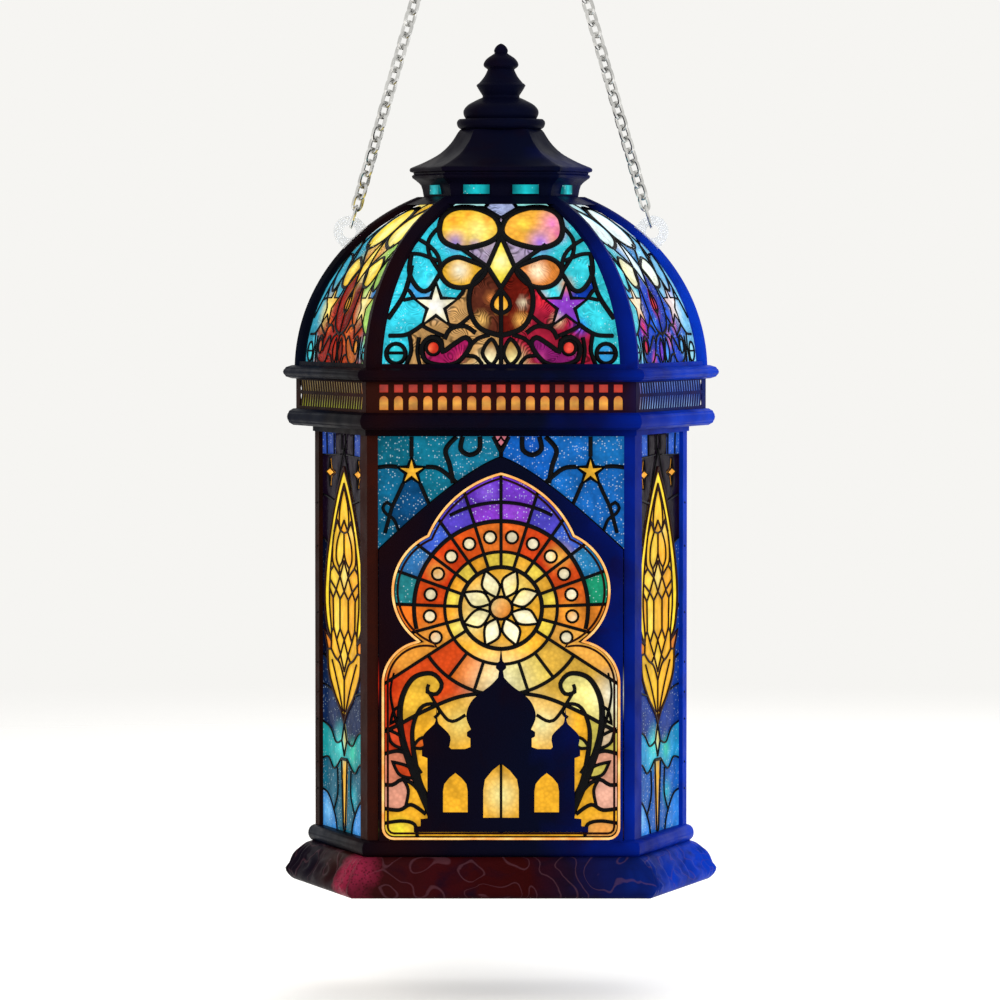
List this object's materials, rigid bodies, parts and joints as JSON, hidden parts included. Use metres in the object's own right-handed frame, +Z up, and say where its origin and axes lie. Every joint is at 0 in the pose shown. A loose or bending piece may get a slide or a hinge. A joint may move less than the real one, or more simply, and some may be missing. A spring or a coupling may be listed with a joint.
{
  "type": "decorative hanging lantern",
  "caption": "Hexagonal hanging lantern with stained-glass sides, arched windows, pierced frieze, ribbed glass dome, finial, back door and battery candle, on a chain sling.",
  "frame": {"origin": "centre of the hanging ring, from which the whole lantern hangs", "axes": "+Z up along the hanging line, -Y towards the front window, +X to the right seen from the front; the back door faces +Y"},
  "size_m": [0.131, 0.1134, 0.3658],
  "materials": {
    "dark_metal": "near-black blue enamel, satin, with worn edges",
    "brown_metal": "dark maroon-brown enamel, satin",
    "cast_metal": "antiqued cast metal, dark with warm highlights",
    "arcade_glass": "leaded stained glass, many colours, lit from inside",
    "side_glass": "blue and teal streaked glass with an amber almond, lit from inside",
    "dome_glass": "leaded stained glass in cyan, yellow, red and blue, lit from inside",
    "amber_glass": "amber and red glass strip behind the pierced frieze",
    "steel": "bright nickel plate",
    "clear_acrylic": "clear acrylic with polished edges",
    "candle_wax": "ivory wax-coated shell",
    "flame_lens": "warm lit diffuser",
    "white_plastic": "moulded white plastic",
    "black_plastic": "moulded black plastic"
  },
  "bodies": {
    "hanger": {"hanging_ring": "steel"},
    "sling": {"left_chain": "steel", "right_chain": "steel", "left_jump_ring": "steel", "right_jump_ring": "steel"},
    "lantern": {"foot": "cast_metal", "base_moulding": "dark_metal", "floor_plate": "brown_metal", "front_left_post": "brown_metal", "front_right_post": "dark_metal", "right_post": "dark_metal", "back_right_post": "dark_metal", "back_left_post": "dark_metal", "left_post": "brown_metal", "front_glass": "arcade_glass", "front_right_glass": "side_glass", "back_right_glass": "side_glass", "back_left_glass": "side_glass", "front_left_glass": "side_glass", "front_arch": "dark_metal", "front_right_tracery": "brown_metal", "back_right_tracery": "brown_metal", "back_left_tracery": "brown_metal", "front_left_tracery": "brown_metal", "lower_cornice": "dark_metal", "front_frieze": "dark_metal", "front_right_frieze": "dark_metal", "back_right_frieze": "dark_metal", "back_frieze": "dark_metal", "back_left_frieze": "dark_metal", "front_left_frieze": "dark_metal", "frieze_liner": "amber_glass", "upper_cornice": "dark_metal", "dome_cage": "dark_metal", "front_dome_glass": "dome_glass", "front_right_dome_glass": "dome_glass", "back_right_dome_glass": "dome_glass", "back_dome_glass": "dome_glass", "back_left_dome_glass": "dome_glass", "front_left_dome_glass": "dome_glass", "roof_cap": "dark_metal", "finial": "dark_metal", "finial_nut": "steel", "left_eyelet": "clear_acrylic", "right_eyelet": "clear_acrylic", "candle_cup": "brown_metal", "lower_hinge_pin": "steel", "upper_hinge_pin": "steel", "door_magnet": "steel"},
    "door": {"door_frame": "dark_metal", "door_glass": "arcade_glass", "door_knob": "steel"},
    "candle": {"candle_body": "candle_wax", "candle_flame": "flame_lens", "battery_cover": "white_plastic"},
    "switch": {"candle_switch": "black_plastic"}
  },
  "joints": [
    {"name": "sling_swing", "type": "hinge", "parent": "hanger", "child": "sling", "pos_m": [0, 0, -0.00884], "axis": [1, 0, 0], "range_deg": [-30, 30]},
    {"name": "lantern_tilt", "type": "hinge", "parent": "sling", "child": "lantern", "pos_m": [0, 0, -0.15605], "axis": [1, 0, 0], "range_deg": [-45, 45]},
    {"name": "door_swing", "type": "hinge", "parent": "lantern", "child": "door", "pos_m": [0.0368, 0.0502, -0.28], "axis": [0, 0, -1], "range_deg": [0, 110]},
    {"name": "candle_lift", "type": "slide", "parent": "lantern", "child": "candle", "axis": [0, 0, 1], "range_m": [0, 0.012]},
    {"name": "switch_slide", "type": "slide", "parent": "candle", "child": "switch", "axis": [1, 0, 0], "range_m": [-0.0042, 0]}
  ]
}
